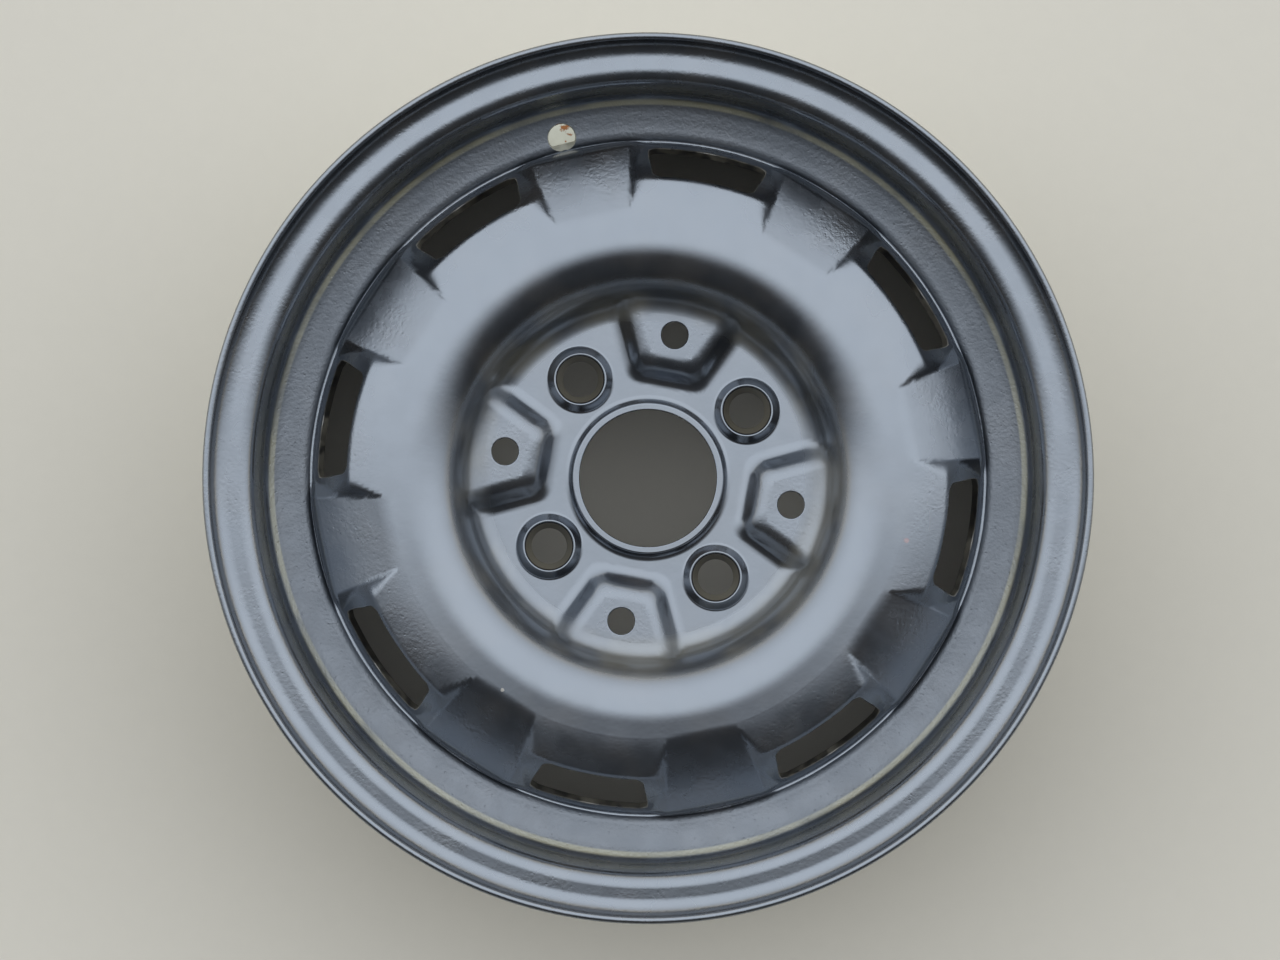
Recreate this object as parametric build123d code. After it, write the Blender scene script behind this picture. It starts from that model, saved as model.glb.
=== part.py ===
from build123d import *
import os
from math import asin, cos, degrees, radians, sin, tan

# Steel road wheel, 13 inch by 5 inch, J flanges, bare.
# Millimetres. The origin is the centre of the hub mounting face, +Z points outboard along the axle.
# The four clip pads lie on the X and Y axes, and the four bolt holes lie between them.

# Rim section, as the tyre sees it
BEAD_DIAMETER = 329.4
FLANGE_SPACING = 127.0
OFFSET = 20.0
FLANGE_HEIGHT = 17.3
FLANGE_WIDTH = 13.0
LIP_RADIUS = 9.5
FLANGE_FOOT_RADIUS = 3.1
SEAT_TAPER = 5.0
SEAT_SHOULDER_RADIUS = 13.4
WELL_CORNER_RADIUS = 1.6
WELL_DEPTH = 21.5
OUTER_WALL_SLOPE = 10.0
OUTER_WALL_LEVEL = 10.5
INNER_WALL_SLOPE = 20.0
INNER_WALL_LEVEL = -25.0
LIP_RUN = 0.5
RIM_THICKNESS = 2.9

# Valve hole
VALVE_HOLE_RADIUS = 5.65
VALVE_SETBACK = 3.2
VALVE_AZIMUTH = 114.8
VALVE_PUNCH_OVERRUN = 0.15

# Disc section, on its outboard skin
DISC_THICKNESS = 3.2
BOWL_SLOPE = 76.0
BOWL_FOOT_FILLET = 9.0
CROWN_HEIGHT = 31.0
LAND_LENGTH = 27.4
CROWN_FILLET = 22.2
LAND_SLOPE = 7.0
LAND_NOSE_RADIUS = 12.0
LAND_WALL_SLOPE = 46.0
RAMP_SETBACK = 16.2
RAMP_SLOPE = 31.0
SKIRT_BEND_RADIUS = 8.0
SKIRT_LENGTH = 17.7

# Lands and vents round the disc
LAND_COUNT = 8
RAMP_HALF_ANGLE = 7.65
LAND_SIDE_TILT = 46.0
CREASE_SLOPE = 33.0
LAND_LEAD_SLOPE = 6.5
LAND_LEAD = 4.6
LAND_EDGE_FILLET = 5.0
LAND_TOE = 0.7
VENT_LEDGE = 3.0
VENT_OPENING = 12.5
VENT_INNER_HALF_ANGLE = 9.5
VENT_OUTER_HALF_ANGLE = 10.7
VENT_CORNER_RADIUS = 2.5

# Hub
BORE_RADIUS = 28.55
BORE_LEAD_IN = 1.5
COLLAR_WALL = 3.05
COLLAR_HEIGHT = 8.7
COLLAR_FOOT_FILLET = 2.2
BOLT_COUNT = 4
BOLT_CIRCLE_RADIUS = 50.0
BOLT_HOLE_RADIUS = 7.4
BOLT_SEAT_ANGLE = 60.0
BOLT_CREST_RADIUS = 10.25
BOLT_BOSS_HEIGHT = 3.0
BOLT_BOSS_RADIUS = 13.2
BOLT_BOSS_FILLET = 1.8
BOLT_BOSS_RUN_OUT = 0.6
BOLT_CREST_FLAT = 0.6
BOLT_GROOVE_INNER_RADIUS = 8.6
BOLT_GROOVE_OUTER_RADIUS = 13.6
BOLT_GROOVE_DEPTH = 1.8

# Clip pads
PAD_COUNT = 4
PAD_HEIGHT = 8.0
PAD_LENGTH = 31.0
PAD_INNER_HALF_WIDTH = 9.2
PAD_FLARE = 25.4
PAD_RUN_IN = 17.4
PAD_SIDE_SLOPE = 43.0
PAD_CORNER_RADIUS = 5.0
PAD_EDGE_FILLET = 4.0
CLIP_HOLE_RADIUS = 5.6
CLIP_SETBACK = 11.5

# Weld beads
WELD_LEG = 4.0
WELD_TOE = 2.9
WELD_SWELL = 0.4
WELD_HALF_ANGLE = 8.0

# Working room of the cutting solids
MARGIN = 5.0


def shifted(line, depth):
    """A line (r, z, heading in degrees) moved by depth to the right of its heading."""
    r, z, heading = line
    return (r + depth * sin(radians(heading)), z - depth * cos(radians(heading)), heading)


def crossing(first, second):
    """The point where two lines (r, z, heading) cross."""
    r1, z1, h1 = first
    r2, z2, h2 = second
    c1, s1 = cos(radians(h1)), sin(radians(h1))
    c2, s2 = cos(radians(h2)), sin(radians(h2))
    run = ((r2 - r1) * s2 - (z2 - z1) * c2) / (c1 * s2 - s1 * c2)
    return (r1 + run * c1, z1 + run * s1)


def on_line(line, r):
    """The height of a line (r, z, heading) at radius r."""
    return line[1] + (r - line[0]) * tan(radians(line[2]))


def turn(first, second):
    """The turn from one heading to the next, positive to the left."""
    return (second[2] - first[2] + 180.0) % 360.0 - 180.0


def sheet_side(lines, radii, start, end, depth):
    """One side of a bent sheet: straight runs joined by bends, moved in by depth."""
    moved = [shifted(line, depth) for line in lines]
    corners = [crossing(a, b) for a, b in zip(moved, moved[1:])]
    bends = [
        radius + depth if turn(a, b) > 0 else max(0.0, radius - depth)
        for radius, a, b in zip(radii, lines, lines[1:])
    ]
    first = shifted((start[0], start[1], lines[0][2]), depth)[:2]
    last = shifted((end[0], end[1], lines[-1][2]), depth)[:2]
    points = [first] + corners + [last]
    return FilletPolyline(*points, radius=bends)


# Lines of the rim section (r, z, heading), on the tyre's side, from the inboard lip to the outboard lip

BEAD_RADIUS = BEAD_DIAMETER / 2
RIM_RADIUS = BEAD_RADIUS + FLANGE_HEIGHT
WELL_RADIUS = BEAD_RADIUS - WELL_DEPTH
SKIRT_RADIUS = WELL_RADIUS - RIM_THICKNESS
VALVE_CIRCLE_RADIUS = WELL_RADIUS + VALVE_SETBACK
OUT_FLANGE_Z = FLANGE_SPACING / 2 - OFFSET
IN_FLANGE_Z = OUT_FLANGE_Z - FLANGE_SPACING
LIP_RISE = FLANGE_WIDTH - LIP_RADIUS - RIM_THICKNESS / 2 - LIP_RUN
LIP_TURN = degrees(asin(LIP_RISE / (LIP_RADIUS - RIM_THICKNESS / 2)))
LIP_CENTRE_RADIUS = RIM_RADIUS - LIP_RADIUS


def lip_line(flange_z, side):
    """The straight end of a flange's curl; side is 1 outboard and -1 inboard."""
    r = LIP_CENTRE_RADIUS + LIP_RADIUS * cos(radians(LIP_TURN))
    z = flange_z + side * LIP_RADIUS * (1 + sin(radians(LIP_TURN)))
    return (r, z, 90.0 + side * LIP_TURN)


RIM_LINES = [
    lip_line(IN_FLANGE_Z, -1),
    (LIP_CENTRE_RADIUS, IN_FLANGE_Z, 180.0),
    (BEAD_RADIUS, IN_FLANGE_Z, 90.0 + SEAT_TAPER),
    (WELL_RADIUS, INNER_WALL_LEVEL, 180.0 - INNER_WALL_SLOPE),
    (WELL_RADIUS, 0.0, 90.0),
    shifted((SKIRT_RADIUS, OUTER_WALL_LEVEL, OUTER_WALL_SLOPE), RIM_THICKNESS),
    (BEAD_RADIUS, OUT_FLANGE_Z, 90.0 - SEAT_TAPER),
    (LIP_CENTRE_RADIUS, OUT_FLANGE_Z, 0.0),
    lip_line(OUT_FLANGE_Z, 1),
]
RIM_BENDS = [
    LIP_RADIUS,
    FLANGE_FOOT_RADIUS,
    SEAT_SHOULDER_RADIUS,
    WELL_CORNER_RADIUS,
    WELL_CORNER_RADIUS,
    SEAT_SHOULDER_RADIUS,
    FLANGE_FOOT_RADIUS,
    LIP_RADIUS,
]

# Lines of the disc section on its outboard skin, from the hub to the skirt

VENT_OUTER_RADIUS = SKIRT_RADIUS - VENT_LEDGE
LAND_END_RADIUS = VENT_OUTER_RADIUS - VENT_OPENING
CROWN_RADIUS = LAND_END_RADIUS - LAND_LENGTH
RAMP_START_RADIUS = LAND_END_RADIUS - RAMP_SETBACK
LAND_LEAD_RADIUS = RAMP_START_RADIUS - LAND_LEAD
PAD_OUTER_RADIUS = CROWN_RADIUS - PAD_RUN_IN
PAD_INNER_RADIUS = PAD_OUTER_RADIUS - PAD_LENGTH
CLIP_CIRCLE_RADIUS = PAD_INNER_RADIUS + CLIP_SETBACK
LAND_LINE = (
    CROWN_RADIUS + CROWN_FILLET * sin(radians(LAND_SLOPE)),
    CROWN_HEIGHT - CROWN_FILLET * (1 - cos(radians(LAND_SLOPE))),
    -LAND_SLOPE,
)
RAMP_LINE = (RAMP_START_RADIUS, on_line(LAND_LINE, RAMP_START_RADIUS), -RAMP_SLOPE)
NOSE_CENTRE_RADIUS = LAND_END_RADIUS - LAND_NOSE_RADIUS * sin(radians(LAND_WALL_SLOPE))
NOSE_START_RADIUS = NOSE_CENTRE_RADIUS + LAND_NOSE_RADIUS * sin(radians(LAND_SLOPE))
NOSE_CENTRE_Z = on_line(LAND_LINE, NOSE_START_RADIUS) - LAND_NOSE_RADIUS * cos(radians(LAND_SLOPE))
LAND_WALL_LINE = (
    LAND_END_RADIUS,
    NOSE_CENTRE_Z + LAND_NOSE_RADIUS * cos(radians(LAND_WALL_SLOPE)),
    -LAND_WALL_SLOPE,
)
BOWL_CENTRE_Z = CROWN_HEIGHT - CROWN_FILLET
BOWL_LINE = (
    CROWN_RADIUS - CROWN_FILLET * sin(radians(BOWL_SLOPE)),
    BOWL_CENTRE_Z + CROWN_FILLET * cos(radians(BOWL_SLOPE)),
    BOWL_SLOPE,
)
HUB_LINE = (0.0, DISC_THICKNESS, 0.0)
SKIRT_LINE = (SKIRT_RADIUS, 0.0, -90.0)
BEND_CENTRE_Z = (
    on_line(RAMP_LINE, SKIRT_RADIUS)
    - SKIRT_BEND_RADIUS * tan(radians(90.0 - RAMP_SLOPE) / 2)
)
SKIRT_END_Z = BEND_CENTRE_Z - SKIRT_LENGTH

COLLAR_RADIUS = BORE_RADIUS + COLLAR_WALL
COLLAR_LINE = (0.0, COLLAR_HEIGHT, 0.0)
COLLAR_SIDE = (COLLAR_RADIUS, 0.0, -90.0)

LAND_PITCH = 360.0 / LAND_COUNT
LAND_HALF_ANGLE = LAND_PITCH / 2 - RAMP_HALF_ANGLE
PAD_TOP_Z = DISC_THICKNESS + PAD_HEIGHT
BOLT_CREST_Z = DISC_THICKNESS + BOLT_BOSS_HEIGHT


def section(*edges):
    """A closed outline in (r, z), as a face in the XZ plane."""
    return Plane.XZ * make_face(Curve() + list(edges))


def sector(face, half_angle):
    """The face turned about the axle, from minus to plus half_angle round the X axis."""
    return revolve(Rot(0, 0, -half_angle) * face, Axis.Z, 2 * half_angle)


def around(shape, count, start=0.0):
    """Copies of a shape at equal steps round the axle."""
    return [Rot(0, 0, start + k * 360.0 / count) * shape for k in range(count)]


# Rim

def make_rim():
    start = RIM_LINES[0]
    end = RIM_LINES[-1]
    run_in = (cos(radians(start[2])) * LIP_RUN, sin(radians(start[2])) * LIP_RUN)
    run_out = (cos(radians(end[2])) * LIP_RUN, sin(radians(end[2])) * LIP_RUN)
    first = (start[0] - run_in[0], start[1] - run_in[1])
    last = (end[0] + run_out[0], end[1] + run_out[1])
    tyre_side = sheet_side(RIM_LINES, RIM_BENDS, first, last, 0.0)
    barrel_side = sheet_side(RIM_LINES, RIM_BENDS, first, last, -RIM_THICKNESS)

    def lip_edge(tip, line, way):
        other = shifted((tip[0], tip[1], line[2]), -RIM_THICKNESS)[:2]
        reach = way * RIM_THICKNESS / 2
        middle = (
            (tip[0] + other[0]) / 2 + reach * cos(radians(line[2])),
            (tip[1] + other[1]) / 2 + reach * sin(radians(line[2])),
        )
        return ThreePointArc(tip, middle, other)

    face = section(
        *tyre_side.edges(),
        *barrel_side.edges(),
        lip_edge(first, start, -1),
        lip_edge(last, end, 1),
    )
    hoop = revolve(face, Axis.Z, 360.0)

    wall = Rot(0, 0, VALVE_AZIMUTH) * Plane(
        origin=(VALVE_CIRCLE_RADIUS, 0, valve_level()),
        z_dir=(-sin(radians(OUTER_WALL_SLOPE)), 0, cos(radians(OUTER_WALL_SLOPE))),
    ).location
    reach = RIM_THICKNESS / 2 + VALVE_PUNCH_OVERRUN
    punch = Pos(0, 0, (MARGIN - reach) / 2) * Cylinder(VALVE_HOLE_RADIUS, MARGIN + reach)
    return hoop - wall * punch


def valve_level():
    """Height of the middle of the outboard side wall at the valve hole."""
    wall = shifted((SKIRT_RADIUS, OUTER_WALL_LEVEL, OUTER_WALL_SLOPE), RIM_THICKNESS / 2)
    return on_line(wall, VALVE_CIRCLE_RADIUS)


# Disc

def ramp_form(depth):
    """Everything under the disc's skin with ramps all round, the skin moved in by depth."""
    lines = [HUB_LINE, BOWL_LINE, LAND_LINE, RAMP_LINE, SKIRT_LINE]
    bends = [BOWL_FOOT_FILLET, CROWN_FILLET, 0.0, SKIRT_BEND_RADIUS]
    floor = SKIRT_END_Z
    if depth:
        floor -= MARGIN
    else:
        lines = [COLLAR_LINE, COLLAR_SIDE] + lines
        bends = [0.0, COLLAR_FOOT_FILLET] + bends
    skin = sheet_side(lines, bends, lines[0], (SKIRT_RADIUS, floor), depth)
    first = shifted(lines[0], depth)[:2]
    last = (SKIRT_RADIUS - depth, floor)
    rest = Polyline(last, (0.0, floor), first)
    form = revolve(section(*skin.edges(), *rest.edges()), Axis.Z, 360.0)
    return Rot(0, 0, LAND_PITCH / 2) * form


def land_side(side, depth):
    """The plane of a land's side wall; its foot lies along the crease of the ramp beside it."""
    azimuth = radians(side * LAND_HALF_ANGLE)
    outward = Vector(cos(azimuth), sin(azimuth), 0)
    away = Vector(-sin(azimuth), cos(azimuth), 0) * side
    up = Vector(0, 0, 1)
    crease = outward * cos(radians(CREASE_SLOPE)) - up * sin(radians(CREASE_SLOPE))
    rise = up * cos(radians(LAND_SIDE_TILT)) - away * sin(radians(LAND_SIDE_TILT))
    normal = crease.cross(rise).normalized()
    if normal.dot(away) < 0:
        normal = normal * -1
    foot = outward * RAMP_LINE[0] + up * RAMP_LINE[1]
    return Plane(origin=foot - normal * depth, x_dir=crease, z_dir=normal)


def make_land(depth):
    """One raised land, its skin moved in by depth, reaching down inside the ramp form.

    Its top leaves the crown's cone at LAND_LEAD_RADIUS by half a degree, so that no faces coincide.
    """
    lead = (LAND_LEAD_RADIUS, on_line(LAND_LINE, LAND_LEAD_RADIUS), -LAND_LEAD_SLOPE)
    top_line = shifted(lead, depth)
    wall_line = shifted(LAND_WALL_LINE, depth)
    start = (LAND_LEAD_RADIUS - MARGIN, on_line(top_line, LAND_LEAD_RADIUS - MARGIN))
    corner = crossing(top_line, wall_line)
    toe_radius = VENT_OUTER_RADIUS + LAND_TOE - depth * sin(radians(LAND_WALL_SLOPE))
    toe = (toe_radius, on_line(wall_line, toe_radius))
    skin = FilletPolyline(start, corner, toe, radius=[LAND_NOSE_RADIUS - depth])
    rest = Polyline(toe, (toe_radius, BEND_CENTRE_Z), (start[0], BEND_CENTRE_Z), start)
    land = sector(section(*skin.edges(), *rest.edges()), LAND_PITCH)
    sides = [land_side(side, depth) for side in (1, -1)]
    for side in sides:
        beyond = Box(RIM_RADIUS, RIM_RADIUS, RIM_RADIUS)
        land -= side.location * Pos(0, 0, RIM_RADIUS / 2) * beyond

    def on_a_side(edge):
        middle = edge.position_at(0.5)
        behind = Vector(middle.X, middle.Y, 0).length < start[0] + 1.0
        below = middle.Z < toe[1]
        return not behind and not below and any(
            abs(side.to_local_coords(middle).Z) < 0.001 for side in sides
        )

    return fillet(land.edges().filter_by(on_a_side), LAND_EDGE_FILLET - depth)


def make_pad(depth):
    """One raised clip pad, its skin moved in by depth."""
    reach = PAD_OUTER_RADIUS - PAD_INNER_RADIUS
    outer_half = PAD_INNER_HALF_WIDTH + reach * tan(radians(PAD_FLARE))
    outline = make_face(
        Polyline(
            (PAD_INNER_RADIUS, -PAD_INNER_HALF_WIDTH),
            (PAD_OUTER_RADIUS, -outer_half),
            (PAD_OUTER_RADIUS, outer_half),
            (PAD_INNER_RADIUS, PAD_INNER_HALF_WIDTH),
            close=True,
        )
    )
    outline = fillet(outline.vertices().sort_by(Axis.X)[:2], PAD_CORNER_RADIUS)
    if depth:
        outline = offset(outline, -depth * tan(radians(PAD_SIDE_SLOPE) / 2))
    top = Pos(0, 0, PAD_TOP_Z - depth) * outline
    height = PAD_HEIGHT + MARGIN
    pad = extrude(top, amount=height, dir=(0, 0, -1), taper=-(90.0 - PAD_SIDE_SLOPE))
    return fillet(pad.faces().sort_by(Axis.Z)[-1].edges(), PAD_EDGE_FILLET - depth)


def make_bolt_boss():
    """The raised ring round a bolt hole, centred on the axle until it is moved out."""
    skin = FilletPolyline(
        (0.0, BOLT_CREST_Z),
        (BOLT_CREST_RADIUS + BOLT_CREST_FLAT, BOLT_CREST_Z),
        (BOLT_BOSS_RADIUS, DISC_THICKNESS),
        (BOLT_BOSS_RADIUS + MARGIN, DISC_THICKNESS - BOLT_BOSS_RUN_OUT),
        radius=[BOLT_CREST_FLAT, BOLT_BOSS_FILLET],
    )
    low = DISC_THICKNESS / 2
    rest = Polyline(
        (BOLT_BOSS_RADIUS + MARGIN, DISC_THICKNESS - BOLT_BOSS_RUN_OUT),
        (BOLT_BOSS_RADIUS + MARGIN, low),
        (0.0, low),
        (0.0, BOLT_CREST_Z),
    )
    return revolve(section(*skin.edges(), *rest.edges()), Axis.Z, 360.0)


def make_bolt_hole():
    """The coned bolt hole and the pressed groove round it on the back, centred on the axle."""
    slope = tan(radians(BOLT_SEAT_ANGLE) / 2)
    cone_end_z = BOLT_CREST_Z - (BOLT_CREST_RADIUS - BOLT_HOLE_RADIUS) / slope
    hole = Polyline(
        (0.0, -MARGIN),
        (BOLT_HOLE_RADIUS, -MARGIN),
        (BOLT_HOLE_RADIUS, cone_end_z),
        (BOLT_CREST_RADIUS + MARGIN * slope, BOLT_CREST_Z + MARGIN),
        (0.0, BOLT_CREST_Z + MARGIN),
        close=True,
    )
    flank = BOLT_GROOVE_DEPTH * slope
    groove = Polyline(
        (BOLT_GROOVE_INNER_RADIUS, 0.0),
        (BOLT_GROOVE_INNER_RADIUS + flank, BOLT_GROOVE_DEPTH),
        (BOLT_GROOVE_OUTER_RADIUS - flank, BOLT_GROOVE_DEPTH),
        (BOLT_GROOVE_OUTER_RADIUS, 0.0),
        (BOLT_GROOVE_OUTER_RADIUS, -MARGIN),
        (BOLT_GROOVE_INNER_RADIUS, -MARGIN),
        close=True,
    )
    tool = revolve(section(*hole.edges()), Axis.Z, 360.0)
    return tool + revolve(section(*groove.edges()), Axis.Z, 360.0)


def make_bore():
    """The centre bore with the lead-in chamfer at the mounting face."""
    low = -MARGIN
    high = DISC_THICKNESS + COLLAR_HEIGHT
    outline = Polyline(
        (0.0, low),
        (BORE_RADIUS + BORE_LEAD_IN - low, low),
        (BORE_RADIUS, BORE_LEAD_IN),
        (BORE_RADIUS, high),
        (0.0, high),
        close=True,
    )
    return revolve(section(*outline.edges()), Axis.Z, 360.0)


def along(point, way, length):
    return (point[0] + way[0] * length, point[1] + way[1] * length)


def make_vent_punch():
    """The punch of one vent, square to the sheet at both long edges and rounded at its corners."""
    nose = LAND_WALL_LINE[:2]
    nose_out = (sin(radians(LAND_WALL_SLOPE)), cos(radians(LAND_WALL_SLOPE)))
    bend_sin = 1 - (SKIRT_RADIUS - VENT_OUTER_RADIUS) / SKIRT_BEND_RADIUS
    bend_out = (bend_sin, cos(asin(bend_sin)))
    bend = (VENT_OUTER_RADIUS, BEND_CENTRE_Z + SKIRT_BEND_RADIUS * bend_out[1])
    inside = DISC_THICKNESS + MARGIN
    behind_nose = along(nose, nose_out, -inside)
    profile = Polyline(
        along(nose, nose_out, MARGIN),
        behind_nose,
        (behind_nose[0], BEND_CENTRE_Z - MARGIN),
        along(bend, bend_out, -inside),
        along(bend, bend_out, MARGIN),
        close=True,
    )
    ring = sector(section(*profile.edges()), LAND_PITCH / 2)
    inner_half = LAND_END_RADIUS * sin(radians(VENT_INNER_HALF_ANGLE))
    outer_half = VENT_OUTER_RADIUS * sin(radians(VENT_OUTER_HALF_ANGLE))
    inner_x = LAND_END_RADIUS * cos(radians(VENT_INNER_HALF_ANGLE))
    outer_x = VENT_OUTER_RADIUS * cos(radians(VENT_OUTER_HALF_ANGLE))
    spread = (outer_half - inner_half) / (outer_x - inner_x)
    low_x = inner_x - inside - MARGIN
    high_x = outer_x + inside + MARGIN
    low_half = inner_half + (low_x - inner_x) * spread
    high_half = inner_half + (high_x - inner_x) * spread
    width = make_face(
        Polyline(
            (low_x, -low_half),
            (high_x, -high_half),
            (high_x, high_half),
            (low_x, low_half),
            close=True,
        )
    )
    punch = ring & extrude(width, amount=CROWN_HEIGHT)

    def is_corner(edge):
        middle = edge.position_at(0.5)
        reach = Vector(middle.X, middle.Y, 0).length
        on_nose = abs((reach - nose[0]) * nose_out[1] - (middle.Z - nose[1]) * nose_out[0])
        on_bend = abs((reach - bend[0]) * bend_out[1] - (middle.Z - bend[1]) * bend_out[0])
        return abs(middle.Y) > inner_half / 2 and min(on_nose, on_bend) < 0.01

    return fillet(punch.edges().filter_by(is_corner), VENT_CORNER_RADIUS)


def disc_form(depth):
    """Everything under the disc's skin, the skin moved in by depth."""
    form = ramp_form(depth)
    form += around(make_land(depth), LAND_COUNT)
    form += around(make_pad(depth), PAD_COUNT)
    return form


def make_disc():
    bolts_start = 180.0 / BOLT_COUNT
    disc = disc_form(0.0)
    disc += around(Pos(BOLT_CIRCLE_RADIUS, 0, 0) * make_bolt_boss(), BOLT_COUNT, bolts_start)
    disc -= disc_form(DISC_THICKNESS)
    disc -= make_bore()
    disc -= around(Pos(BOLT_CIRCLE_RADIUS, 0, 0) * make_bolt_hole(), BOLT_COUNT, bolts_start)
    clip_hole = Pos(CLIP_CIRCLE_RADIUS, 0, PAD_TOP_Z) * Cylinder(CLIP_HOLE_RADIUS, 2 * PAD_TOP_Z)
    disc -= around(clip_hole, PAD_COUNT)
    disc -= around(make_vent_punch(), LAND_COUNT)
    return disc


# Welds

def make_welds():
    """A fillet bead under the skirt behind each ramp, on the skirt's edge and the well's wall."""
    corner = (SKIRT_RADIUS, SKIRT_END_Z)
    inner = (SKIRT_RADIUS - WELD_TOE, SKIRT_END_Z)
    lower = (SKIRT_RADIUS, SKIRT_END_Z - WELD_LEG)
    crown = (SKIRT_RADIUS - WELD_TOE / 2 - WELD_SWELL, SKIRT_END_Z - WELD_LEG / 2 - WELD_SWELL)
    outline = section(Line(corner, inner), ThreePointArc(inner, crown, lower), Line(lower, corner))
    bead = sector(outline, WELD_HALF_ANGLE)
    return Compound(children=around(bead, LAND_COUNT, LAND_PITCH / 2))


if __name__ == "__main__":
    os.makedirs("parts", exist_ok=True)
    export_step(make_rim(), "parts/rim.step")
    export_step(make_disc(), "parts/wheel_disc.step")
    export_step(make_welds(), "parts/weld_beads.step")
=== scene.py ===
"""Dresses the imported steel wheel: a pressed disc in a rolled rim, satin black enamel over old pale paint.

Surfaces are worked out in millimetres and put into their meshes in metres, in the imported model's frame.
"""

import math

import bpy
import numpy as np
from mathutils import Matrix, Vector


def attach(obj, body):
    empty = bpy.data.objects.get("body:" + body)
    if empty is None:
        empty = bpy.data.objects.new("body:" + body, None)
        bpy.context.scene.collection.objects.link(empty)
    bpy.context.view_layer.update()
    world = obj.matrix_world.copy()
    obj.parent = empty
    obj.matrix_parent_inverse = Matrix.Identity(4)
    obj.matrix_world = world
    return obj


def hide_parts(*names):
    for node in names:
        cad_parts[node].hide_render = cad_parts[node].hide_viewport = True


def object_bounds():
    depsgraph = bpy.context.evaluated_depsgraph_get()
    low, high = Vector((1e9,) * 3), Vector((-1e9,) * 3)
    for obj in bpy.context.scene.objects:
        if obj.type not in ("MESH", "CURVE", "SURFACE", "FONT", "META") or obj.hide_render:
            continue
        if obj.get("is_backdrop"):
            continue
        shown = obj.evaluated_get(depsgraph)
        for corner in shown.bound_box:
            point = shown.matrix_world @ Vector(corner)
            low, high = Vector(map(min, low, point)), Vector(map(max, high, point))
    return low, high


bl_info = {
    "name": "Steel Wheel Dresser",
    "version": (1, 0, 0),
    "blender": (4, 5, 0),
    "location": "View3D > Sidebar > Wheel",
    "description": "Builds the painted surfaces of a pressed steel road wheel and its plain studio",
    "category": "Object",
}

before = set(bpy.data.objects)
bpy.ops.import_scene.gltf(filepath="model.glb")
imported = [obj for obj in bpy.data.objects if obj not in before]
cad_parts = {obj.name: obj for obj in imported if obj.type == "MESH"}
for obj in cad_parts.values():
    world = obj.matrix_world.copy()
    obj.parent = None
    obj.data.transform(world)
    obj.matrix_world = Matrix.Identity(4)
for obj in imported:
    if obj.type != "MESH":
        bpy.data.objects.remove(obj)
CAD_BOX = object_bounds()

MM = 0.001
LANDS = 8
PERIOD = 360.0 / LANDS


# Colours and small tools


def srgb(text):
    """Linear RGBA of an sRGB hex colour such as "a0b1c2"."""
    parts = [int(text[i:i + 2], 16) / 255 for i in (0, 2, 4)]
    linear = [c / 12.92 if c <= 0.04045 else ((c + 0.055) / 1.055) ** 2.4 for c in parts]
    return (*linear, 1.0)


def smooth_min(a, b, k):
    """The lower of a and b, with the corner between them rounded over a width k."""
    h = np.clip(0.5 + 0.5 * (b - a) / k, 0.0, 1.0)
    return b + (a - b) * h - k * h * (1.0 - h)


def smooth_max(a, b, k):
    """The higher of a and b, with the corner between them rounded over a width k."""
    return -smooth_min(-a, -b, k)


def arch(radius, run):
    """Height of a circle over its centre at a distance run beside it, and 0 outside it."""
    return np.sqrt(np.maximum(radius**2 - run**2, 0.0))


def ease(x):
    """0 below 0, 1 above 1, and 3x^2 - 2x^3 between."""
    x = np.clip(x, 0.0, 1.0)
    return x * x * (3.0 - 2.0 * x)


def unit(v):
    """Rows of v at length 1."""
    return v / np.maximum(np.linalg.norm(v, axis=-1, keepdims=True), 1e-12)


def tan_deg(angle):
    return np.tan(np.radians(angle))


def sin_deg(angle):
    return np.sin(np.radians(angle))


def cos_deg(angle):
    return np.cos(np.radians(angle))


def towards(heading):
    """The unit step in a heading, as its two parts."""
    return np.array([cos_deg(heading), sin_deg(heading)])


def polar(r, angle, z):
    """Points (x, y, z) from radii, azimuths in degrees and heights."""
    return np.stack(np.broadcast_arrays(r * cos_deg(angle), r * sin_deg(angle), z), axis=-1)


# Bent profiles: straight runs (r, z, heading) joined by bends


def crossing(first, second):
    """The point where two lines (r, z, heading) cross."""
    (r1, z1, h1), (r2, z2, h2) = first, second
    run = ((r2 - r1) * sin_deg(h2) - (z2 - z1) * cos_deg(h2)) / sin_deg(h2 - h1)
    return np.array([r1, z1]) + run * towards(h1)


def shifted(line, depth):
    """The line moved to the right of its heading by depth."""
    r, z, heading = line
    return (r + depth * sin_deg(heading), z - depth * cos_deg(heading), heading)


def turn_between(first, second):
    """Degrees from the first line's heading to the second's, positive to the left."""
    return (second[2] - first[2] + 180.0) % 360.0 - 180.0


def arc_lengths(points):
    """Distances of points along their line, from its first."""
    return np.concatenate([[0.0], np.cumsum(np.linalg.norm(np.diff(points, axis=0), axis=1))])


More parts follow.
